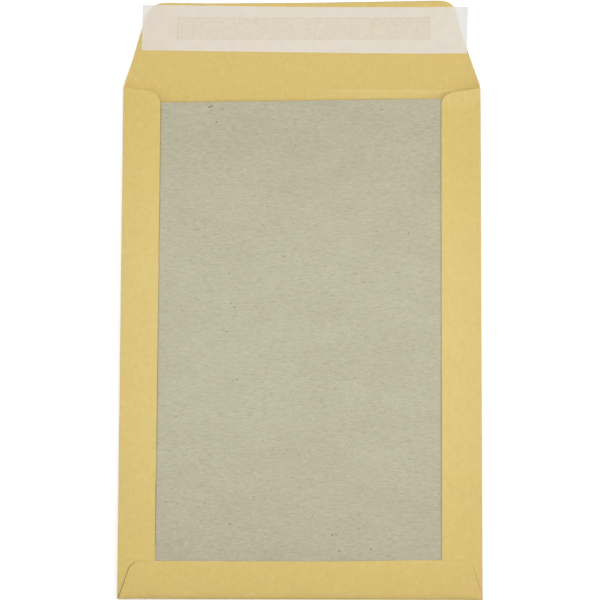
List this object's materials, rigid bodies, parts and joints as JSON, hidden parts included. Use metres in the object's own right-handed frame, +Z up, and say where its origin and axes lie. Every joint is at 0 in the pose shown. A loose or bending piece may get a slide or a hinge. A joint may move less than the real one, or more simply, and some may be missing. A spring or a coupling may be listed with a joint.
{
  "type": "board-backed envelope",
  "caption": "Large kraft paper envelope with a stiff grey board back held under glued side and foot flaps, and an open tapered closing flap with a pale liner over its seal.",
  "frame": {"origin": "middle of the front panel's outer face, on the surface the envelope lies on", "axes": "+Z up, out of the board back; +Y along the envelope towards the closing flap; +X to the right as one looks down on the board with the closing flap away"},
  "size_m": [0.2284, 0.3817, 0.0063],
  "materials": {
    "kraft_paper": "manila kraft paper, matt, 120 g/m2",
    "greyboard": "recycled greyboard, matt, about 500 g/m2",
    "dried_glue": "dried dispersion glue",
    "seal_amber": "tacky amber seal adhesive",
    "glassine": "silicone-coated white liner paper, satin, slightly see-through"
  },
  "bodies": {
    "root": {"folded_envelope": "kraft_paper", "backing_board": "greyboard", "left_seam_glue": "dried_glue", "right_seam_glue": "dried_glue", "foot_seam_glue": "dried_glue", "seal_adhesive": "seal_amber", "release_liner": "glassine"}
  },
  "joints": []
}
